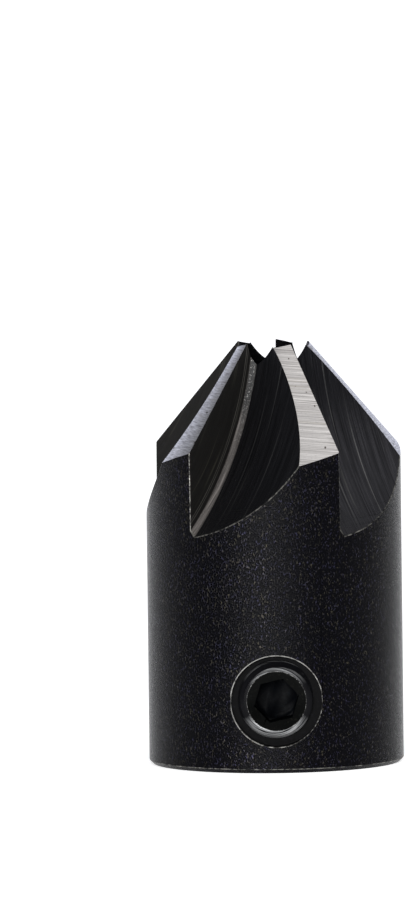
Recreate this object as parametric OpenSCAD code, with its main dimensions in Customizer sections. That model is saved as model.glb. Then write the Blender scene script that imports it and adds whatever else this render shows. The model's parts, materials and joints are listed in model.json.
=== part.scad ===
// Slip-on countersink for a twist drill. A toothed steel head slides over the drill, and
// one set screw in its side clamps it to the shank.
// Lengths are in millimetres and angles in degrees. The head stands on its flat rear face
// with its axis on Z and its teeth at the top, and the set screw looks out along -Y.

/* [Head] */
// Outside diameter of the head, which is the widest countersink it cuts
head_d = 16; // [13:0.5:20]
// Length from the rear face to the tips of the teeth
head_l = 26.5; // [22:0.1:34]
// Diameter of the drill that the head slides over
drill_d = 3.5; // [3:0.5:4.5]
// Play between the drill and its bore, on each side
bore_play = 0.05; // [0.02:0.01:0.15]
// Chamfer round the outside of the rear face
rear_chamfer = 0.25; // [0.1:0.05:0.8]
// Chamfer at the rear mouth of the bore
bore_chamfer = 0.4; // [0.2:0.05:0.8]
// How far the bore flares at the tips of the teeth, on each side
nose_flare = 0.5; // [0.2:0.05:0.6]
// Angle of that flare from side to side
nose_angle = 40; // [30:5:90]

/* [Teeth] */
// Number of teeth
tooth_count = 5; // [4:1:6]
// Angle of the countersink that the cutting edges leave
cone_angle = 82; // [70:1:100]
// How steeply a land falls away behind its cutting edge, at the rim
land_relief = 15; // [8:0.5:20]
// Angle from the set screw round to the first cutting edge
tooth_turn = 30.8; // [20:0.1:40]

/* [Flutes] */
// Length of a flute on the outside of the head, from the tips down to its run-out
flute_l = 11.8; // [9:0.1:15]
// Depth below the tips at which a flute opens into the bore
throat_l = 1.5; // [1.1:0.1:2]
// Diameter of the disc cutter that mills a flute
flute_cutter_d = 40; // [30:1:60]
// Taper of that cutter's rim, which slopes the floor of the flute
flute_cutter_taper = 5; // [1:0.5:8]
// Chamfer on that cutter's corner, which leaves the bright strip along the flute's root
root_chamfer = 0.3; // [0.15:0.05:0.6]
// Lean of a tooth's cutting face away from the head's axis
flute_lean = 0.5; // [0:0.25:3]

/* [Set screw] */
// Thread diameter of the set screw
thread_d = 5; // [4:0.5:6]
// Play between the screw and its tapped hole, on each side
thread_play = 0.05; // [0.02:0.01:0.1]
// Height of the screw's axis above the rear face
screw_height = 4.5; // [3.5:0.1:6]
// How far the screw's outer end lies below the head's surface
screw_recess = 0.4; // [0.1:0.05:1]
// Gap between the screw's point and the bore
point_gap = 0.8; // [0.4:0.05:1.2]
// Step from the tapped hole out to its counterbored mouth
mouth_step = 0.3; // [0.1:0.05:0.6]
// Depth of that mouth below the head's surface
mouth_depth = 1; // [0.6:0.1:1.4]
// How far the tapped hole runs on past the head's axis
tap_overrun = 0.4; // [0.2:0.05:0.7]
// Width of the hexagon socket across its flats
hex_flats = 2.5; // [2:0.1:3]
// Depth of the hexagon socket
hex_depth = 2.2; // [1.6:0.1:2.7]
// Wall between the socket's corners and the rim round it
hex_wall = 0.4; // [0.2:0.05:0.5]
// How far round the socket has been turned
hex_turn = 13; // [0:1:59]
// Diameter of the cup at the screw's point
cup_d = 2.5; // [2:0.1:3]
// Depth of that cup
cup_depth = 0.6; // [0.3:0.1:0.9]

/* [Hidden] */
$fn = 128;

head_r = head_d / 2;
bore_r = drill_d / 2 + bore_play;
tip_r = bore_r + nose_flare;
nose_depth = nose_flare / tan(nose_angle / 2);

// Cutting edges, which run straight from the flared nose of the bore out to the rim
edge_slope = cone_angle / 2;
tooth_pitch = 360 / tooth_count;
rim_z = head_l - (head_r - tip_r) / tan(edge_slope);
apex_z = rim_z + head_r / tan(edge_slope);

// Each land is part of a cone tipped about its cutting edge's radial line
relief_tilt = atan(tan(land_relief) * pow(sin(edge_slope), 2));
relief_half_angle = acos(cos(edge_slope) * cos(relief_tilt));

// Disc cutter, whose rim passes through a flute's run-out and its throat
cutter_r = flute_cutter_d / 2;
runout = [head_r, head_l - flute_l];
throat = [bore_r, head_l - throat_l];
chord = throat - runout;
chord_rise = sqrt(pow(cutter_r, 2) - pow(norm(chord) / 2, 2));
cutter_centre = (runout + throat) / 2 + chord_rise * [chord.y, -chord.x] / norm(chord);
cutter_w = head_r + 1;

// Set screw
thread_r = thread_d / 2;
tapped_r = thread_r + thread_play;
mouth_r = tapped_r + mouth_step;
hex_corner_r = hex_flats / 2 / cos(30);
rim_r = hex_corner_r + hex_wall;
cup_r = cup_d / 2;
screw_l = head_r - bore_r - screw_recess - point_gap;
screw_out = head_r - screw_recess;

// Turns its children to each tooth in turn, with the cutting edge over +X
module at_each_tooth() {
    for (i = [0 : tooth_count - 1])
        rotate([0, 0, tooth_turn - 90 + i * tooth_pitch]) children();
}

// Points its children's +Z out of the head along the set screw's axis
module along_screw() {
    translate([0, 0, screw_height]) rotate([90, 0, 0]) children();
}

// The turned blank, with its bore, the flare at its nose and the chamfers at its rear
module blank() {
    rotate_extrude()
        polygon([
            [bore_r + bore_chamfer, 0],
            [head_r - rear_chamfer, 0],
            [head_r, rear_chamfer],
            [head_r, head_l],
            [tip_r, head_l],
            [bore_r, head_l - nose_depth],
            [bore_r, bore_chamfer],
        ]);
}

// What the disc cutter takes away in front of one cutting edge
module flute() {
    translate([0, 0, rim_z])
        rotate([flute_lean, 0, 0])
            translate([cutter_centre.x, 0, cutter_centre.y - rim_z])
                rotate([-90, 0, 0])
                    rotate_extrude($fn = 240)
                        polygon([
                            [0, 0],
                            [cutter_r - root_chamfer, 0],
                            [cutter_r, root_chamfer],
                            [cutter_r - (cutter_w - root_chamfer) * tan(flute_cutter_taper), cutter_w],
                            [0, cutter_w],
                        ]);
}

// What the grinding wheel takes away above one land, from the flute behind it to the flute
// ahead of it
module land_grind() {
    ahead = 0.14 * tooth_pitch;
    span = 0.9 * tooth_pitch;
    cone_h = apex_z - runout.y + head_r;
    difference() {
        rotate([0, 0, ahead - span])
            rotate_extrude(angle = span)
                translate([bore_r / 2, runout.y])
                    square([head_r + 1 - bore_r / 2, head_l + 1 - runout.y]);
        translate([0, 0, apex_z])
            rotate([relief_tilt, 0, 0])
                translate([0, 0, -cone_h])
                    cylinder(h = cone_h, r1 = cone_h * tan(relief_half_angle), r2 = 0);
    }
}

// The tapped hole, from its counterbored mouth in to the bore
module screw_hole() {
    along_screw() {
        translate([0, 0, -tap_overrun]) cylinder(h = head_r + 1 + tap_overrun, r = tapped_r);
        translate([0, 0, head_r - mouth_depth]) cylinder(h = mouth_depth + 1, r = mouth_r);
    }
}

module cutter_head() {
    color([0.13, 0.13, 0.14])
        difference() {
            blank();
            at_each_tooth() flute();
            at_each_tooth() land_grind();
            screw_hole();
        }
}

// The hexagon socket, with the cone that leads a key into it and the drill point below it
module hex_socket() {
    lead_in = (rim_r - hex_corner_r) * tan(30);
    drill_point = hex_flats / 2 * tan(30);
    translate([0, 0, -hex_depth]) rotate([0, 0, hex_turn]) cylinder(h = hex_depth + 1, r = hex_corner_r, $fn = 6);
    translate([0, 0, -lead_in]) cylinder(h = lead_in, r1 = hex_corner_r, r2 = rim_r);
    translate([0, 0, -hex_depth - drill_point]) cylinder(h = drill_point, r1 = 0, r2 = hex_flats / 2);
}

module set_screw() {
    end_chamfer = thread_r - rim_r;
    point_chamfer = thread_r - cup_r;
    cup_edge = 0.1;
    color([0.19, 0.19, 0.2])
        along_screw()
            translate([0, 0, screw_out])
                difference() {
                    rotate_extrude()
                        polygon([
                            [0, -screw_l + cup_depth],
                            [cup_r - cup_edge, -screw_l],
                            [cup_r, -screw_l],
                            [thread_r, -screw_l + point_chamfer],
                            [thread_r, -end_chamfer],
                            [rim_r, 0],
                            [0, 0],
                        ]);
                    hex_socket();
                }
}

cutter_head();
set_screw();
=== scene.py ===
import json
from math import acos, atan, cos, hypot, pi, radians, sin, sqrt, tan

import bpy
from mathutils import Matrix, Vector

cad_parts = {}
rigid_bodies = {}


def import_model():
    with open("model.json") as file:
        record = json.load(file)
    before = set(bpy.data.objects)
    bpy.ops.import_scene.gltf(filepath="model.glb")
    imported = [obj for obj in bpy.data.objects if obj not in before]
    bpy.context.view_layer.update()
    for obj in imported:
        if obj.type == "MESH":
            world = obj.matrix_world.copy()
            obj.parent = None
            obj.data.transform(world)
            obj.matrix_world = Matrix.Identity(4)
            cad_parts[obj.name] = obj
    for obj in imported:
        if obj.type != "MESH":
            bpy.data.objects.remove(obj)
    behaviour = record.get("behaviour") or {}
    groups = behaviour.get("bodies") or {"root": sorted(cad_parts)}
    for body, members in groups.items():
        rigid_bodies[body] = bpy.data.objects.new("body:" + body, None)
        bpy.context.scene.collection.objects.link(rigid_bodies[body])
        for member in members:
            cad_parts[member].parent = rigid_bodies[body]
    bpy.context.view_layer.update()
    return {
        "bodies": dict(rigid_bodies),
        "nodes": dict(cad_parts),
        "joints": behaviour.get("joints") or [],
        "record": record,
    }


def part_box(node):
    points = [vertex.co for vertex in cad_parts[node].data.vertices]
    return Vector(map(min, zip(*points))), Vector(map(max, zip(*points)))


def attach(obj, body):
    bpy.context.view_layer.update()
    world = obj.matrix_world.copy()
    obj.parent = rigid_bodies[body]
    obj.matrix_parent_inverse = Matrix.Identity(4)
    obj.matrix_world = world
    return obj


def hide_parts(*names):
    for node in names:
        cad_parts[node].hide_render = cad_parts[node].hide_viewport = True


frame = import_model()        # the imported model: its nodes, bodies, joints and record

mm = 0.001               # objects are in metres, and the sizes below in millimetres


# Small steps that every piece uses

def pick(piece):
    if bpy.context.mode != "OBJECT":
        bpy.ops.object.mode_set(mode="OBJECT")
    bpy.ops.object.select_all(action="DESELECT")
    piece.select_set(True)
    bpy.context.view_layer.objects.active = piece


def editFaces(piece, wanted):
    # opens the piece with only the faces selected whose centre and normal pass the test
    pick(piece)
    bpy.ops.object.mode_set(mode="EDIT")
    bpy.ops.mesh.select_mode(type="FACE")
    bpy.ops.mesh.select_all(action="DESELECT")
    bpy.ops.object.mode_set(mode="OBJECT")
    for face in piece.data.polygons:
        face.select = wanted(face.center / mm, face.normal)
    bpy.ops.object.mode_set(mode="EDIT")


def editAll(piece):
    pick(piece)
    bpy.ops.object.mode_set(mode="EDIT")
    bpy.ops.mesh.select_mode(type="VERT")
    bpy.ops.mesh.select_all(action="SELECT")


def setPlace(piece, place):
    # moves and turns a piece, then bakes that into its mesh
    pick(piece)
    piece.matrix_world = place
    bpy.ops.object.transform_apply(location=True, rotation=True, scale=True)


def paint(piece, material, wanted=lambda centre, normal: True):
    # gives a material to the faces that pass the test
    if material.name not in piece.data.materials:
        piece.data.materials.append(material)
    index = piece.data.materials.find(material.name)
    for face in piece.data.polygons:
        if wanted(face.center / mm, face.normal):
            face.material_index = index


def wearEdges(piece, width, material, wanted, steps=1):
    # rubs the edges that pass the test, given their two ends and the finishes on both sides
    mesh = piece.data
    paint(piece, material, lambda centre, normal: False)
    finishes = {}
    for face in mesh.polygons:
        for key in face.edge_keys:
            finishes.setdefault(key, set()).add(mesh.materials[face.material_index].name)
    pick(piece)
    bpy.ops.object.mode_set(mode="EDIT")
    bpy.ops.mesh.select_mode(type="EDGE")
    bpy.ops.mesh.select_all(action="DESELECT")
    bpy.ops.object.mode_set(mode="OBJECT")
    for edge in mesh.edges:
        ends = [mesh.vertices[index].co / mm for index in edge.vertices]
        edge.select = wanted(ends, finishes.get(edge.key, set()))
    bpy.ops.object.mode_set(mode="EDIT")
    bpy.ops.mesh.bevel(
        offset=width * mm, segments=steps, affect="EDGES", clamp_overlap=False,
        material=mesh.materials.find(material.name))
    bpy.ops.object.mode_set(mode="OBJECT")


def cutAway(piece, tool, operation="DIFFERENCE"):
    # cuts the piece with a tool, whose materials stay on the faces that it leaves
    pick(piece)
    cut = piece.modifiers.new("cut", "BOOLEAN")
    cut.operation = operation
    cut.solver = "EXACT"
    cut.material_mode = "TRANSFER"
    cut.object = tool
    bpy.ops.object.modifier_apply(modifier=cut.name)
    mesh = tool.data
    bpy.data.objects.remove(tool)
    bpy.data.meshes.remove(mesh)


def copyPiece(piece, name):
    twin = piece.copy()
    twin.data = piece.data.copy()
    twin.name = name
    bpy.context.scene.collection.objects.link(twin)
    return twin


def place(x=0, y=0, z=0):
    return Matrix.Translation(Vector((x, y, z)) * mm)


def turn(degrees, axis):
    return Matrix.Rotation(radians(degrees), 4, axis)


def addRod(name, radius, low, high, steps):
    # a plain round rod along Z
    bpy.ops.object.select_all(action="DESELECT")
    bpy.ops.mesh.primitive_cylinder_add(
        vertices=steps, radius=radius * mm, depth=(high - low) * mm,
        location=(0, 0, (low + high) / 2 * mm))
    rod = bpy.context.object
    rod.name = name
    setPlace(rod, rod.matrix_world.copy())
    return rod


def addCone(name, lowRadius, highRadius, low, high, steps):
    bpy.ops.object.select_all(action="DESELECT")
    bpy.ops.mesh.primitive_cone_add(
        vertices=steps, radius1=lowRadius * mm, radius2=highRadius * mm,
        depth=(high - low) * mm, location=(0, 0, (low + high) / 2 * mm))
    cone = bpy.context.object
    cone.name = name
    setPlace(cone, cone.matrix_world.copy())
    return cone


def addProfile(name, points):
    # draws a line of points in the XZ plane, one extrusion at a time
    bpy.ops.object.select_all(action="DESELECT")
    bpy.ops.mesh.primitive_plane_add(size=mm)
    profile = bpy.context.object
    profile.name = name
    editAll(profile)
    bpy.ops.mesh.merge(type="CENTER")
    here = Vector((0, 0))
    for index, point in enumerate(points):
        step = Vector(point) - here
        move = {"value": (step.x * mm, 0, step.y * mm)}
        if index == 0:
            bpy.ops.transform.translate(**move)
        else:
            bpy.ops.mesh.extrude_region_move(TRANSFORM_OT_translate=move)
        here = Vector(point)
    bpy.ops.object.mode_set(mode="OBJECT")
    return profile


def addTurned(name, points, steps):
    # spins a profile that starts and ends on the axis into a closed solid
    turned = addProfile(name, points)
    editAll(turned)
    bpy.ops.mesh.spin(steps=steps, angle=2 * pi, center=(0, 0, 0), axis=(0, 0, 1))
    bpy.ops.mesh.select_all(action="SELECT")
    bpy.ops.mesh.remove_doubles(threshold=mm / 1e4)
    bpy.ops.mesh.normals_make_consistent(inside=False)
    bpy.ops.object.mode_set(mode="OBJECT")
    return turned


def addThreaded(name, thread, low, high):
    # a threaded rod along Z between two flat ends, with its helix counted from z = 0
    flank = (thread["crest"] - thread["root"]) * tan(radians(30))
    rootFlat = thread["pitch"] - thread["crestFlat"] - 2 * flank
    first = (low // thread["pitch"] - 1) * thread["pitch"]
    turns = int((high - first) / thread["pitch"]) + 2
    rod = addProfile(name, [
        (thread["root"], first),
        (thread["root"], first + rootFlat / 2),
        (thread["crest"], first + rootFlat / 2 + flank),
        (thread["crest"], first + rootFlat / 2 + flank + thread["crestFlat"]),
        (thread["root"], first + thread["pitch"] - rootFlat / 2),
        (thread["root"], first + thread["pitch"]),
    ])
    helix = rod.modifiers.new("helix", "SCREW")
    helix.axis = "Z"
    helix.angle = 2 * pi
    helix.screw_offset = thread["pitch"] * mm
    helix.iterations = turns
    helix.steps = helix.render_steps = thread["steps"]
    pick(rod)
    bpy.ops.object.modifier_apply(modifier=helix.name)
    editAll(rod)
    bpy.ops.mesh.remove_doubles(threshold=mm / 1e3)
    for height, side in ((high, 1), (low, -1)):
        bpy.ops.mesh.select_all(action="SELECT")
        bpy.ops.mesh.bisect(plane_co=(0, 0, height * mm), plane_no=(0, 0, side),
                            clear_outer=True, use_fill=True, threshold=mm / 1e5)
    bpy.ops.mesh.select_all(action="SELECT")
    bpy.ops.mesh.normals_make_consistent(inside=False)
    bpy.ops.object.mode_set(mode="OBJECT")
    return rod


# Materials

def addNode(tree, kind, inputs=None, **settings):
    # a node whose inputs are plain values or the outputs of other nodes
    node = tree.nodes.new("ShaderNode" + kind)
    for name, value in settings.items():
        setattr(node, name, value)
    for key, value in (inputs or {}).items():
        if isinstance(value, bpy.types.NodeSocket):
            tree.links.new(value, node.inputs[key])
        else:
            node.inputs[key].default_value = value
    return node


def calc(tree, operation, first, second=0.0, third=0.0):
    return addNode(tree, "Math", {0: first, 1: second, 2: third}, operation=operation).outputs[0]


def spread(tree, value, low, high, newLow=0.0, newHigh=1.0):
    # stretches the part of a value between low and high over a new range
    return addNode(tree, "MapRange", {0: value, 1: low, 2: high, 3: newLow, 4: newHigh}).outputs[0]


def blendColors(tree, share, first, second):
    node = addNode(tree, "Mix", {0: share}, data_type="RGBA")
    for socket, color in ((node.inputs[6], first), (node.inputs[7], second)):
        if isinstance(color, bpy.types.NodeSocket):
            tree.links.new(color, socket)
        else:
            socket.default_value = (*color, 1)
    return node.outputs[2]


def newGroup(name, inputs, outputs):
    # a shader node group, with the nodes that hold its inputs and its outputs
    group = bpy.data.node_groups.new(name, "ShaderNodeTree")
    for title, value in inputs:
        kind = "NodeSocketVector" if value is None else "NodeSocketFloat"
        socket = group.interface.new_socket(title, in_out="INPUT", socket_type=kind)
        if value is not None:
            socket.default_value = value
    for title in outputs:
        group.interface.new_socket(title, in_out="OUTPUT", socket_type="NodeSocketFloat")
    return group, group.nodes.new("NodeGroupInput").outputs, group.nodes.new("NodeGroupOutput").inputs


def useGroup(tree, group, **inputs):
    node = tree.nodes.new("ShaderNodeGroup")
    node.node_tree = group
    for key, value in inputs.items():
        if isinstance(value, bpy.types.NodeSocket):
            tree.links.new(value, node.inputs[key])
        else:
            node.inputs[key].default_value = value
    return node.outputs


def makeGrain():
    # the fine flecks of blackened steel, longer along Z than round it
    group, given, result = newGroup(
        "grain", (("Vector", None), ("Scale", 6000.0), ("Stretch", 0.5)), ("Flecks", "Tint", "Height"))
    stretched = addNode(group, "CombineXYZ", {0: 1.0, 1: 1.0, 2: given["Stretch"]}).outputs[0]
    along = addNode(
        group, "VectorMath", {0: given["Vector"], 1: stretched}, operation="MULTIPLY").outputs[0]
    fine = addNode(group, "TexNoise", {
        "Vector": along, "Scale": given["Scale"], "Detail": 3.0, "Roughness": 0.7})
    wide = addNode(group, "TexNoise", {
        "Vector": along, "Scale": calc(group, "MULTIPLY", given["Scale"], 0.45), "Detail": 1.0})
    patches = addNode(group, "TexNoise", {
        "Vector": given["Vector"], "Scale": calc(group, "MULTIPLY", given["Scale"], 0.07),
        "Detail": 1.0}).outputs[0]
    flecks = spread(group, fine.outputs[0], 0.565, 0.7)
    group.links.new(
        calc(group, "MULTIPLY", flecks, spread(group, patches, 0.3, 0.7, 0.55, 1.3)), result["Flecks"])
    group.links.new(spread(group, wide.outputs[0], 0.4, 0.6), result["Tint"])
    group.links.new(fine.outputs[0], result["Height"])
    return group


def makeToolLines():
    # the fine parallel lines that a cutter, a wheel or a drill leaves, across one value
    group, given, result = newGroup(
        "toolLines", (("Across", 0.0), ("Along", None), ("Pitch", 0.00005), ("Length", 0.001)),
        ("Lines", "Scratches", "Height"))
    across = calc(group, "DIVIDE", given["Across"], given["Pitch"])
    along = addNode(group, "VectorMath", {
        0: given["Along"], "Scale": calc(group, "DIVIDE", 1.0, given["Length"])},
        operation="SCALE").outputs[0]
    step = addNode(group, "CombineXYZ", {0: across}).outputs[0]
    where = addNode(group, "VectorMath", {0: along, 1: step}, operation="ADD").outputs[0]
    fine = addNode(group, "TexNoise", {
        "Vector": where, "Scale": 1.0, "Detail": 3.0, "Roughness": 0.7}).outputs[0]
    far = addNode(group, "VectorMath", {0: where, 1: (0.31, 0.45, 0.45)}, operation="MULTIPLY").outputs[0]
    rare = addNode(group, "TexNoise", {
        "Vector": far, "Scale": 1.0, "Detail": 2.0, "Roughness": 0.5}).outputs[0]
    group.links.new(spread(group, fine, 0.3, 0.7), result["Lines"])
    group.links.new(spread(group, rare, 0.6, 0.7), result["Scratches"])
    group.links.new(fine, result["Height"])
    return group


def makeBreakup():
    # where a rubbed edge still keeps its black skin
    group, given, result = newGroup(
        "breakup", (("Vector", None), ("Scale", 2500.0), ("Wear", 0.5)), ("Bare",))
    noise = addNode(group, "TexNoise", {
        "Vector": given["Vector"], "Scale": given["Scale"], "Detail": 5.0, "Roughness": 0.75}).outputs[0]
    low = calc(group, "SUBTRACT", 0.75, calc(group, "MULTIPLY", given["Wear"], 0.6))
    bare = addNode(group, "MapRange", {0: noise, 1: low, 2: calc(group, "ADD", low, 0.3)}).outputs[0]
    group.links.new(bare, result["Bare"])
    return group


grain = makeGrain()
toolLines = makeToolLines()
breakup = makeBreakup()


def newMaterial(name, color, roughness, metallic=0.0, specular=0.5):
    material = bpy.data.materials.new(name)
    material.use_nodes = True
    shader = material.node_tree.nodes["Principled BSDF"]
    shader.inputs["Base Color"].default_value = (*color, 1)
    shader.inputs["Roughness"].default_value = roughness
    shader.inputs["Metallic"].default_value = metallic
    shader.inputs["Specular IOR Level"].default_value = specular
    return material


def addBump(material, height, strength, depth):
    # depth in millimetres
    tree = material.node_tree
    bump = addNode(tree, "Bump", {"Strength": strength, "Distance": depth * mm, "Height": height})
    tree.links.new(bump.outputs[0], tree.nodes["Principled BSDF"].inputs["Normal"])


def feed(material, **values):
    # links outputs to the shader's sockets, named without their spaces
    tree = material.node_tree
    for name, value in values.items():
        socket = {"color": "Base Color", "roughness": "Roughness", "metallic": "Metallic"}[name]
        tree.links.new(value, tree.nodes["Principled BSDF"].inputs[socket])


def objectVector(tree):
    return addNode(tree, "TexCoord").outputs["Object"]


def discVector(tree):
    # the place in the frame of the disc cutter that left the surface
    return addNode(tree, "Attribute", attribute_name="disc", attribute_type="GEOMETRY").outputs["Vector"]


def makeBlackSkin(name, look):
    material = newMaterial(name, look["dark"], look["roughness"][0], specular=look["specular"])
    tree = material.node_tree
    flecks = useGroup(tree, grain, Vector=objectVector(tree), Scale=look["scale"], Stretch=look["stretch"])
    tinted = blendColors(tree, flecks["Tint"], look["warmFleck"], look["coolFleck"])
    feed(material, color=blendColors(tree, flecks["Flecks"], look["dark"], tinted),
         metallic=calc(tree, "MULTIPLY", flecks["Flecks"], look["metallic"]),
         roughness=spread(tree, flecks["Height"], 0.3, 0.7, *look["roughness"]))
    addBump(material, flecks["Height"], 1.0, look["bump"])
    return material


def makeLand(name, look):
    # ground bright, in lines round the axis
    material = newMaterial(name, look["bright"], look["roughness"][0], metallic=1)
    tree = material.node_tree
    where = objectVector(tree)
    height = addNode(tree, "SeparateXYZ", {0: where}).outputs["Z"]
    flat = addNode(tree, "VectorMath", {0: where, 1: (1, 1, 0)}, operation="MULTIPLY").outputs[0]
    lines = useGroup(tree, toolLines, Across=height, Along=flat,
                     Pitch=look["pitch"] * mm, Length=look["length"] * mm)
    flecks = useGroup(tree, grain, Vector=where, Scale=look["scale"], Stretch=3.0)
    color = blendColors(tree, lines["Lines"], look["dull"], look["bright"])
    color = blendColors(tree, calc(tree, "MULTIPLY", lines["Scratches"], 0.6), color, look["scratch"])
    color = blendColors(tree, calc(tree, "MULTIPLY", flecks["Flecks"], look["flecks"]), color, look["fleck"])
    nicks = addNode(tree, "TexNoise", {"Vector": where, "Scale": look["nickScale"], "Detail": 1.0}).outputs[0]
    color = blendColors(tree, spread(tree, nicks, 0.72, 0.75), color, look["nick"])
    feed(material, color=color, roughness=spread(tree, lines["Lines"], 0, 1, *look["roughness"]))
    addBump(material, lines["Height"], 1.0, look["bump"])
    return material


def makeMilled(name, look, side):
    # side 1 has lines along the disc cutter's width, side 0 rings round its axis
    material = newMaterial(name, look["dark"], look["roughness"][0], metallic=look["metallic"],
                           specular=look["specular"])
    tree = material.node_tree
    where = discVector(tree)
    parts = addNode(tree, "SeparateXYZ", {0: where}).outputs
    flat = addNode(tree, "VectorMath", {0: where, 1: (1, 1, 0)}, operation="MULTIPLY").outputs[0]
    radius = addNode(tree, "VectorMath", {0: flat}, operation="LENGTH").outputs["Value"]
    across = parts["Z"] if side else radius
    lines = useGroup(tree, toolLines, Across=across, Along=flat,
                     Pitch=look["pitch"] * mm, Length=look["length"] * mm)
    spot = objectVector(tree)
    flecks = useGroup(tree, grain, Vector=spot, Scale=look["scale"], Stretch=0.8)
    color = blendColors(tree, lines["Lines"], look["dark"], look["light"])
    color = blendColors(tree, lines["Scratches"], color, look["scratch"])
    if "burntFrom" in look:
        # mottled above some height
        height = addNode(tree, "SeparateXYZ", {0: spot}).outputs["Z"]
        burnt = spread(tree, height, look["burntFrom"] * mm, look["burntTo"] * mm)
        mottled = blendColors(tree, flecks["Flecks"], look["burntDark"], look["burntLight"])
        color = blendColors(tree, burnt, color, mottled)
    if "rootSize" in look:
        # painted shade: the flat strip darkens towards both its edges, leaving it brightest along its middle
        half = look["rootSize"] / 2
        away = calc(tree, "ABSOLUTE", calc(tree, "SUBTRACT", parts["Z"], half * mm))
        paintedEdgeShade = spread(tree, away, 0.5 * half * mm, half * mm, 0, 0.75)
        color = blendColors(tree, paintedEdgeShade, color, look["dark"])
    color = blendColors(tree, calc(tree, "MULTIPLY", flecks["Flecks"], look["flecks"]), color, look["fleck"])
    for groove in look.get("grooves", ()):
        away = calc(tree, "ABSOLUTE", calc(tree, "SUBTRACT", radius, groove * mm))
        uneven = spread(tree, lines["Height"], 0.4, 0.6, 0.3)
        line = calc(tree, "MULTIPLY", spread(tree, away, 0.035 * mm, 0.01 * mm), uneven)
        color = blendColors(tree, line, color, look["groove"])
    feed(material, color=color, roughness=spread(tree, lines["Lines"], 0, 1, *look["roughness"]))
    height = calc(tree, "ADD", lines["Height"], calc(tree, "MULTIPLY", flecks["Height"], look["pits"]))
    addBump(material, height, 1.0, look["bump"])
    return material


def makeEdge(name, look):
    # worn more or less along the slope vector, from a share of wear at the origin
    material = newMaterial(name, look["bare"], look["roughness"], specular=look["specular"])
    tree = material.node_tree
    where = objectVector(tree)
    along = addNode(tree, "VectorMath", {0: where, 1: look["slope"]},
                    operation="DOT_PRODUCT").outputs["Value"]
    wear = calc(tree, "ADD", along, look["wear"])
    bare = useGroup(tree, breakup, Vector=where, Scale=look["scale"], Wear=wear)["Bare"]
    feed(material, color=blendColors(tree, bare, look["dark"], look["bare"]), metallic=bare)
    return material


def makeRim(name, look):
    # the turned rim of the screw's socket, with painted highlights: bare metal in arcs below and above its
    # axis, weaker above
    material = newMaterial(name, look["dark"], look["roughness"][0], specular=look["specular"])
    tree = material.node_tree
    where = addNode(tree, "Mapping", {
        "Vector": objectVector(tree), "Location": (0, 0, -look["axisHeight"] * mm)}).outputs[0]
    flat = addNode(tree, "VectorMath", {0: where, 1: (1, 0, 1)}, operation="MULTIPLY").outputs[0]
    radius = addNode(tree, "VectorMath", {0: flat}, operation="LENGTH").outputs["Value"]
    lines = useGroup(tree, toolLines, Across=radius, Along=flat,
                     Pitch=look["pitch"] * mm, Length=look["length"] * mm)
    upward = calc(tree, "DIVIDE", addNode(tree, "SeparateXYZ", {0: flat}).outputs["Z"], radius)
    # painted highlight: the rim is bared where it faces down, and a little where it faces up
    paintedLowHighlight = spread(tree, upward, -0.45, -1)
    above = calc(tree, "MULTIPLY", spread(tree, upward, 0.5, 0.95), look["above"])
    bare = calc(tree, "MULTIPLY", calc(tree, "ADD", paintedLowHighlight, above), spread(tree, lines["Lines"], 0.25, 0.8))
    feed(material, color=blendColors(tree, bare, look["dark"], look["bare"]), metallic=bare,
         roughness=spread(tree, lines["Lines"], 0, 1, *look["roughness"]))
    addBump(material, lines["Height"], 1.0, look["bump"])
    return material


blackSkin = makeBlackSkin("blackSkin", {
    "dark": (0.0007, 0.0007, 0.0016), "warmFleck": (0.066, 0.06, 0.043),
    "coolFleck": (0.037, 0.036, 0.069), "scale": 10500.0, "stretch": 0.6, "roughness": (0.27, 0.17),
    "specular": 0.048, "bump": 0.03, "metallic": 0.9,
})
groundLand = makeLand("groundLand", {
    "bright": (0.84, 0.82, 0.81), "dull": (0.26, 0.245, 0.24), "scratch": (0.44, 0.41, 0.36),
    "nick": (0.1, 0.09, 0.08), "fleck": (0.3, 0.29, 0.3), "flecks": 0.5, "scale": 7500.0,
    "pitch": 0.06, "length": 0.7, "roughness": (0.46, 0.36), "bump": 0.005, "nickScale": 2600.0,
})
milledFace = makeMilled("milledFace", {
    "dark": (0.0055, 0.0052, 0.0052), "light": (0.0125, 0.012, 0.011), "scratch": (0.028, 0.027, 0.022),
    "fleck": (0.013, 0.013, 0.015), "flecks": 0.5, "scale": 5500.0, "pits": 0.4,
    "grooves": (19.4, 19.25), "groove": (0.09, 0.086, 0.078),
    "pitch": 0.07, "length": 3.0, "roughness": (0.45, 0.35), "specular": 0.1, "metallic": 0.0,
    "bump": 0.006,
}, 0)
milledFloor = makeMilled("milledFloor", {
    "dark": (0.005, 0.005, 0.006), "light": (0.046, 0.046, 0.052), "scratch": (0.13, 0.13, 0.13),
    "fleck": (0.03, 0.03, 0.034), "flecks": 0.35, "scale": 5500.0, "pits": 0.4,
    "pitch": 0.085, "length": 7.0, "roughness": (0.36, 0.24), "specular": 0.26, "metallic": 0.85,
    "bump": 0.03,
}, 1)
milledRoot = makeMilled("milledRoot", {
    "dark": (0.026, 0.0235, 0.0225), "light": (0.17, 0.157, 0.149), "scratch": (0.32, 0.293, 0.277),
    "fleck": (0.32, 0.3, 0.29), "flecks": 0.3, "scale": 11000.0, "pits": 0.6,
    "burntFrom": 20, "burntTo": 23, "burntDark": (0.028, 0.028, 0.028), "burntLight": (0.3, 0.295, 0.29),
    "rootSize": 0.3, "pitch": 0.05, "length": 2.2, "roughness": (0.45, 0.35), "specular": 0.3, "metallic": 0.75, "bump": 0.012,
}, 1)
boredSteel = makeBlackSkin("boredSteel", {
    "dark": (0.001, 0.001, 0.0014), "warmFleck": (0.006, 0.005, 0.0065), "coolFleck": (0.005, 0.0045, 0.008),
    "scale": 3000.0, "stretch": 1.0, "roughness": (0.5, 0.4), "specular": 0.04,
    "bump": 0.004, "metallic": 0.0,
})
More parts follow.
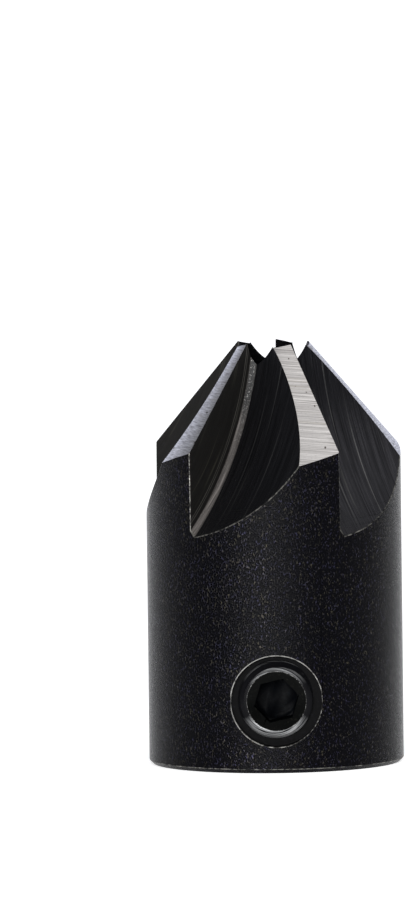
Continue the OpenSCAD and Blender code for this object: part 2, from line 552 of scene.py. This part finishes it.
wornEdge = makeEdge("wornEdge", {
    "bare": (0.36, 0.35, 0.32), "dark": (0.01, 0.01, 0.01), "roughness": 0.4, "specular": 0.08,
    "scale": 2800.0, "wear": 0.5, "slope": (0, 0, 0),
})
mouthRim = makeEdge("mouthRim", {
    "bare": (0.7, 0.69, 0.66), "dark": (0.02, 0.019, 0.018), "roughness": 0.4, "specular": 0.1,
    "scale": 3400.0, "wear": 0.43, "slope": (-35, 0, 35),
})
socketRim = makeEdge("socketRim", {
    "bare": (0.4, 0.4, 0.39), "dark": (0.006, 0.006, 0.006), "roughness": 0.35, "specular": 0.03,
    "scale": 4200.0, "wear": 0.46, "slope": (0, 0, 0),
})
screwSkin = makeBlackSkin("screwSkin", {
    "dark": (0.004, 0.004, 0.005), "warmFleck": (0.016, 0.016, 0.016), "coolFleck": (0.012, 0.012, 0.015),
    "scale": 5000.0, "stretch": 1.0, "roughness": (0.4, 0.3), "specular": 0.06,
    "bump": 0.003, "metallic": 0.0,
})
# painted shade: darker copies of the screw's skin, for the deep socket and, a little lighter, its lead-in
socketSkin = makeBlackSkin("socketSkin", {
    "dark": (0.0005, 0.0008, 0.0015), "warmFleck": (0.002, 0.003, 0.004), "coolFleck": (0.0015, 0.0025, 0.004),
    "scale": 4000.0, "stretch": 1.0, "roughness": (0.5, 0.4), "specular": 0.03,
    "bump": 0.002, "metallic": 0.0,
})
leadSkin = makeBlackSkin("leadSkin", {
    "dark": (0.001, 0.0012, 0.0011), "warmFleck": (0.009, 0.009, 0.007), "coolFleck": (0.005, 0.006, 0.006),
    "scale": 5000.0, "stretch": 1.0, "roughness": (0.5, 0.4), "specular": 0.06,
    "bump": 0.002, "metallic": 0.0,
})
# painted highlights on the rim: its bare colour is laid in arcs below and above the socket's axis
screwRim = makeRim("screwRim", {
    "dark": (0.006, 0.006, 0.007), "bare": (0.6, 0.61, 0.62), "axisHeight": 4.5, "above": 0.3,
    "pitch": 0.11, "length": 1.5, "roughness": (0.4, 0.26), "specular": 0.03, "bump": 0.02,
})
print("materials made")


# Cutter head

cutter = {
    "length": 26.5,          # rear face to the tips of the teeth
    "rearChamfer": 0.25,     # round the outside of the rear face
    "boreChamfer": 0.4,      # at the rear mouth of the bore
    "noseFlare": 0.5,        # of the bore at the tips, on each side
    "noseAngle": 40,         # of that flare from side to side
    "teeth": 5,
    "coneAngle": 82,         # the countersink that the cutting edges leave
    "landRelief": 15,        # how steeply a land falls away at the rim
    "toothTurn": 30.8,       # from the set screw round to the first cutting edge
    "fluteLength": 11.8,     # from the tips down to the run-out
    "throatLength": 1.5,     # from the tips down to where a flute meets the bore
    "discRadius": 20,        # the disc cutter that milled the flutes
    "discTaper": 5,          # of that cutter's rim
    "rootChamfer": 0.3,      # on that cutter's corner
    "lean": 0.5,             # of a cutting face away from the axis
    "mouthStep": 0.3,        # from the tapped hole out to its mouth
    "mouthDepth": 1,         # of that mouth, below the surface
    "tapOverrun": 0.4,       # of the tapped hole, past the axis
    "aroundSteps": 240,      # flats round the outside
    "boreSteps": 144,        # flats round the bore
    "discSteps": 720,        # flats round the disc cutter
    "wheelSteps": 720,       # flats round the cone that a land is part of
    "grindAhead": 0.14,      # of a tooth's share of the turn, that the wheel takes ahead of its edge
    "grindSpan": 0.9,        # of that share, that the wheel takes in all
    "rearWear": 0.03,        # width of the worn edges round the rear
    "tipRound": 0.12,        # length rounded off the teeth's tips
    "fluteWear": 0.045,      # of those along the flutes
    "mouthWear": 0.06,       # and of the one round the screw's mouth
}

headLow, headHigh = (Vector(corner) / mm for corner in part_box("cutter_head"))
headR = headHigh.x
boreR = next(m["dims"]["r_mm"] for m in frame["record"]["mounts"] if m["name"] == "drill_bore")
edgeSlope = radians(cutter["coneAngle"] / 2)
pitchAngle = 360 / cutter["teeth"]
tipR = boreR + cutter["noseFlare"]
noseDepth = cutter["noseFlare"] / tan(radians(cutter["noseAngle"] / 2))
rimZ = cutter["length"] - (headR - tipR) / tan(edgeSlope)
apexZ = rimZ + headR / tan(edgeSlope)
runoutZ = cutter["length"] - cutter["fluteLength"]


def toothPlace(tooth):
    # the frame of one tooth, with its cutting edge over +X
    return turn(cutter["toothTurn"] - 90 + tooth * pitchAngle, "Z")


# the disc cutter's axis lies where its rim passes through a flute's run-out and its throat
fluteRunout = Vector((headR, runoutZ))
fluteThroat = Vector((boreR, cutter["length"] - cutter["throatLength"]))
fluteChord = fluteThroat - fluteRunout
chordRise = sqrt(cutter["discRadius"] ** 2 - (fluteChord.length / 2) ** 2)
discCentre = (fluteRunout + fluteThroat) / 2 + chordRise * Vector((fluteChord.y, -fluteChord.x)).normalized()
discFrame = (toothPlace(0) @ place(z=rimZ) @ turn(cutter["lean"], "X")
             @ place(discCentre.x, 0, discCentre.y - rimZ) @ turn(-90, "X"))


def addBlank():
    blank = addRod("cutterHead", headR, 0, cutter["length"], cutter["aroundSteps"])
    editFaces(blank, lambda centre, normal: normal.z < -0.9)
    bpy.ops.mesh.region_to_loop()
    bpy.ops.mesh.bevel(offset=cutter["rearChamfer"] * mm, segments=1, affect="EDGES")
    bpy.ops.object.mode_set(mode="OBJECT")
    paint(blank, blackSkin)
    wearEdges(blank, cutter["rearWear"], wornEdge, lambda edge, finishes: all(
        abs(end.z - cutter["rearChamfer"]) < 0.01 for end in edge))
    return blank


def addBoreTool():
    # a rod that flares out at both ends, at 45 degrees to the rear face and steeper at the nose
    tool = addRod("boreTool", boreR, cutter["boreChamfer"], cutter["length"] - noseDepth, cutter["boreSteps"])
    noseSlope = cutter["noseFlare"] / noseDepth
    for side, rise, slope in ((-1, cutter["boreChamfer"] + 1, 1), (1, noseDepth + 1, noseSlope)):
        wide = (boreR + rise * slope) / boreR
        editFaces(tool, lambda centre, normal: normal.z * side > 0.9)
        bpy.ops.mesh.extrude_region_move(TRANSFORM_OT_translate={"value": (0, 0, side * rise * mm)})
        bpy.ops.transform.resize(value=(wide, wide, 1), center_override=(0, 0, 0))
        bpy.ops.object.mode_set(mode="OBJECT")
    paint(tool, boredSteel)
    return tool


def addDisc():
    # the disc cutter, with its flat side in the cutting face of the first tooth
    width = headR + 1
    disc = addRod("fluteDisc", cutter["discRadius"], 0, width, cutter["discSteps"])
    editFaces(disc, lambda centre, normal: normal.z < -0.9)
    bpy.ops.mesh.region_to_loop()
    bpy.ops.mesh.bevel(offset=cutter["rootChamfer"] * mm, segments=1, affect="EDGES")
    farR = cutter["discRadius"] - (width - cutter["rootChamfer"]) * tan(radians(cutter["discTaper"]))
    shrink = farR / cutter["discRadius"]
    editFaces(disc, lambda centre, normal: normal.z > 0.9)
    bpy.ops.transform.resize(value=(shrink, shrink, 1), center_override=(0, 0, 0))
    bpy.ops.object.mode_set(mode="OBJECT")
    paint(disc, milledFloor)
    paint(disc, milledFace, lambda centre, normal: normal.z < -0.9)
    paint(disc, milledRoot, lambda centre, normal: -0.9 < normal.z < -0.5)
    setPlace(disc, discFrame)
    return disc


def addWheel():
    # what the grinding wheel takes away above the first land
    ahead = cutter["grindAhead"] * pitchAngle
    span = cutter["grindSpan"] * pitchAngle
    tilt = atan(tan(radians(cutter["landRelief"])) * sin(edgeSlope) ** 2)
    halfAngle = acos(cos(edgeSlope) * cos(tilt))
    coneH = apexZ - runoutZ + headR
    wheel = addRod("landWheel", headR + 1, runoutZ, cutter["length"] + 1, cutter["aroundSteps"])
    cone = addCone("landCone", coneH * tan(halfAngle), 0, -coneH, 0, cutter["wheelSteps"])
    setPlace(cone, place(z=apexZ) @ Matrix.Rotation(tilt, 4, "X"))
    paint(wheel, groundLand)
    paint(cone, groundLand)
    cutAway(wheel, cone)
    editAll(wheel)
    for angle, side in ((ahead, 1), (ahead - span, -1)):
        normal = turn(angle, "Z") @ Vector((0, side, 0))
        bpy.ops.mesh.select_all(action="SELECT")
        bpy.ops.mesh.bisect(plane_co=(0, 0, 0), plane_no=normal,
                            clear_outer=True, use_fill=True, threshold=mm / 1e5)
    bpy.ops.object.mode_set(mode="OBJECT")
    setPlace(wheel, toothPlace(0))
    return wheel


def cutTeeth(head, first):
    # the same cut at every tooth, from its own copy of the first tool
    for tooth in range(cutter["teeth"]):
        tool = copyPiece(first, first.name + str(tooth))
        setPlace(tool, turn(tooth * pitchAngle, "Z"))
        cutAway(head, tool)
    bpy.data.objects.remove(first)


def markMilling(head):
    # keeps the place of each milled corner in the frame of the disc cutter that cut it
    mesh = head.data
    frames = [(turn(tooth * pitchAngle, "Z") @ discFrame).inverted() for tooth in range(cutter["teeth"])]
    marks = mesh.attributes.new("disc", "FLOAT_VECTOR", "CORNER")
    for face in mesh.polygons:
        finish = mesh.materials[face.material_index]
        if finish not in (milledFace, milledRoot, milledFloor):
            continue

        def misfit(frame):
            # how far the face lies from this disc cutter's side, corner or rim
            at = frame @ face.center / mm
            facing = frame.to_3x3() @ face.normal
            radius = hypot(at.x, at.y)
            inward = -(facing.x * at.x + facing.y * at.y) / radius
            if finish == milledFace:
                return abs(at.z) + 10 * (1 - facing.z)
            if finish == milledRoot:
                corner = cutter["discRadius"] - cutter["rootChamfer"] + at.z
                return abs(radius - corner) + 10 * (1 - (inward + facing.z) * sqrt(0.5))
            rim = cutter["discRadius"] - at.z * tan(radians(cutter["discTaper"]))
            return abs(radius - rim) + 10 * (1 - inward)

        frame = min(frames, key=misfit)
        for corner in face.loop_indices:
            marks.data[corner].vector = frame @ mesh.vertices[mesh.loops[corner].vertex_index].co


head = addBlank()
print("blank turned")
cutTeeth(head, addDisc())
print("flutes milled")
cutAway(head, addBoreTool())
print("bored")
cutTeeth(head, addWheel())
print("lands ground")


# Tapped hole and set screw

thread = {
    "pitch": 0.8,
    "steps": 72,             # flats round the thread
    "screwCrestFlat": 0.1,
    "screwDepth": 0.45,      # of the screw's thread
    "holeCrestFlat": 0.09,
    "holeDepth": 0.46,       # of the tapped hole's thread
    "play": 0.05,            # between the screw's crests and the bottom of the hole's thread
}
screw = {
    "cup": 2.5,              # diameter of the cup at the point
    "cupDepth": 0.6,
    "cupEdge": 0.1,          # flat ring round the cup
    "hexFlats": 2.5,
    "hexDepth": 2.2,
    "hexWall": 0.4,          # from the socket's corners out to the rim
    "hexTurn": 13,
    "rimRound": 0.5,         # radius of the rim's outer edge
    "rimWear": 0.03,         # width of the worn flat ring round the socket
    "past": 0.2,             # how far the tools and the thread run on past the screw's ends
    "turnedSteps": 144,
}

screwLow, screwHigh = (Vector(corner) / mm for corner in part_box("set_screw"))
threadR = screwHigh.x
screwZ = (screwLow.z + screwHigh.z) / 2
screwOut = -screwLow.y       # distance of the screw's outer end from the head's axis
screwIn = -screwHigh.y
holeR = threadR + thread["play"]
acrossHead = place(z=screwZ) @ turn(90, "X")   # points +Z out of the head along the screw


def addTap():
    tap = addThreaded("tap", {
        "pitch": thread["pitch"], "crest": holeR, "root": holeR - thread["holeDepth"],
        "crestFlat": thread["holeCrestFlat"], "steps": thread["steps"],
    }, -cutter["tapOverrun"], headR + 1)
    paint(tap, boredSteel)
    setPlace(tap, acrossHead)
    return tap


def addMouthTool():
    mouthR = holeR + cutter["mouthStep"]
    mouth = addRod("mouth", mouthR, headR - cutter["mouthDepth"], headR + 1, cutter["boreSteps"])
    paint(mouth, boredSteel)
    setPlace(mouth, acrossHead)
    return mouth


cutAway(head, addTap())
cutAway(head, addMouthTool())
print("tapped")


def isFluteEdge(ends, finishes):
    return blackSkin.name in finishes and any(name.startswith("milled") for name in finishes)


def isTipEdge(ends, finishes):
    between = finishes == {groundLand.name, boredSteel.name}
    return between and all(end.z > cutter["length"] - 1 for end in ends)


def isMouthEdge(ends, finishes):
    between = finishes == {blackSkin.name, boredSteel.name}
    return between and all(end.y < -headR / 2 for end in ends)


wearEdges(head, cutter["mouthWear"], mouthRim, isMouthEdge)
wearEdges(head, cutter["fluteWear"], wornEdge, isFluteEdge)
wearEdges(head, cutter["tipRound"], boredSteel, isTipEdge, 3)
markMilling(head)
print("edges worn")


def addSetScrew():
    rimR = screw["hexFlats"] / 2 / cos(pi / 6) + screw["hexWall"]
    cupR = screw["cup"] / 2
    crestR = rimR + screw["rimWear"]
    endDepth = threadR - rimR
    past = screw["past"]
    body = addThreaded("setScrew", {
        "pitch": thread["pitch"], "crest": threadR, "root": threadR - thread["screwDepth"],
        "crestFlat": thread["screwCrestFlat"], "steps": thread["steps"],
    }, screwIn - past, screwOut + past)
    paint(body, screwSkin)
    outline = addTurned("screwOutline", [
        (0, screwIn + screw["cupDepth"]),
        (cupR - screw["cupEdge"], screwIn),
        (cupR, screwIn),
        (threadR + past, screwIn + threadR + past - cupR),
        (threadR + past, screwOut - endDepth - 2 * past),
        (threadR, screwOut - endDepth),
    ] + [
        (crestR + screw["rimRound"] * sin(radians(slope)),
         screwOut - screw["rimRound"] * (1 - cos(radians(slope))))
        for slope in range(45, -1, -9)
    ] + [(0, screwOut)], screw["turnedSteps"])
    paint(outline, screwSkin)
    paint(outline, screwRim, lambda centre, normal: centre.z > screwOut - endDepth)
    paint(outline, socketRim, lambda centre, normal: normal.z > 0.9999)
    cutAway(body, outline, "INTERSECT")
    cornerR = screw["hexFlats"] / 2 / cos(pi / 6)
    leadIn = (rimR - cornerR) * tan(pi / 6)
    floorZ = screwOut - screw["hexDepth"]
    socket = addRod("socket", cornerR, floorZ, screwOut + 1, 6)
    setPlace(socket, turn(screw["hexTurn"] - 30, "Z"))
    widening = past / tan(pi / 6)
    mouth = addCone("leadIn", cornerR - widening, rimR + widening, screwOut - leadIn - past, screwOut + past,
                    screw["turnedSteps"])
    pointR = screw["hexFlats"] / 2
    point = addCone("drillPoint", 0, pointR, floorZ - pointR * tan(pi / 6), floorZ, screw["turnedSteps"])
    # painted shade: the lead-in and the socket take darker copies of the screw's skin
    for tool, skin in ((mouth, leadSkin), (socket, socketSkin), (point, socketSkin)):
        paint(tool, skin)
        cutAway(body, tool)
    setPlace(body, acrossHead)
    return body


setScrew = addSetScrew()
print("set screw made")

for piece, body, node, slot in (
    (head, "head", "cutter_head", "black_steel"),
    (setScrew, "screw", "set_screw", "screw_steel"),
):
    pick(piece)
    bpy.ops.object.shade_smooth_by_angle(angle=radians(12))
    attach(piece, body)
    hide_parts(node)
    print(piece.name, len(piece.data.polygons), "faces")


# Stage, lights and camera

studio = {
    "imageSize": (405, 900),
    "sensor": 36,            # mm along the image's longer side
    "distance": 1183,
    "elevation": 4.66,
    "roll": -0.69,
    "lookAt": (-4.43, 0, 19.67),
    "pixelsPerMm": 15.934,   # at the point looked at
    "floorSize": 8000,
    "floorGlow": 0.75,
    "skyColor": (0.9, 0.94, 1),
    "skyStrength": 0.13,
    "softboxes": {           # name: place, size, radiance, colour
        "overhead": ((370, -260, 1110), (1400, 1400), 0.95, (1, 0.985, 0.97)),
        "backdrop": ((-200, 1500, 440), (3600, 880), 1.05, (0.87, 0.92, 1.12)),
        "front": ((-300, -1700, 260), (1000, 520), 16, (1, 1, 1)),
    },
}


def addCamera():
    lens = studio["pixelsPerMm"] * studio["distance"] * studio["sensor"] / studio["imageSize"][1]
    pose = place(*studio["lookAt"]) @ turn(90 - studio["elevation"], "X") @ place(z=studio["distance"])
    bpy.ops.object.camera_add()
    camera = bpy.context.object
    camera.name = "camera"
    camera.matrix_world = pose @ turn(studio["roll"], "Z")
    camera.data.sensor_width = studio["sensor"]
    camera.data.lens = lens
    camera.data.clip_start = 10 * mm
    camera.data.clip_end = 100
    bpy.context.scene.camera = camera


def addFloor():
    bpy.ops.object.select_all(action="DESELECT")
    bpy.ops.mesh.primitive_plane_add(size=studio["floorSize"] * mm)
    floor = bpy.context.object
    floor.name = "floor"
    white = newMaterial("paleFloor", (0.86, 0.86, 0.86), 0.9, specular=0.1)
    shader = white.node_tree.nodes["Principled BSDF"]
    shader.inputs["Emission Color"].default_value = (1, 1, 1, 1)
    shader.inputs["Emission Strength"].default_value = studio["floorGlow"]
    floor.data.materials.append(white)


def addSoftbox(name, at, size, radiance, color):
    bpy.ops.object.light_add(type="AREA", location=Vector(at) * mm)
    box = bpy.context.object
    box.name = name
    box.data.shape = "RECTANGLE"
    box.data.size = size[0] * mm
    box.data.size_y = size[1] * mm
    box.data.energy = radiance * pi * size[0] * size[1] * mm ** 2
    box.data.color = color
    box.visible_camera = False
    box.rotation_euler = (Vector((0, 0, 13)) - Vector(at)).to_track_quat("-Z", "Y").to_euler()


addCamera()
addFloor()
world = bpy.context.scene.world or bpy.data.worlds.new("studio")
bpy.context.scene.world = world
world.use_nodes = True
world.node_tree.nodes["Background"].inputs["Color"].default_value = (*studio["skyColor"], 1)
world.node_tree.nodes["Background"].inputs["Strength"].default_value = studio["skyStrength"]
for name, box in studio["softboxes"].items():
    addSoftbox(name, *box)
bpy.context.scene.view_settings.view_transform = "Standard"
print("studio set")
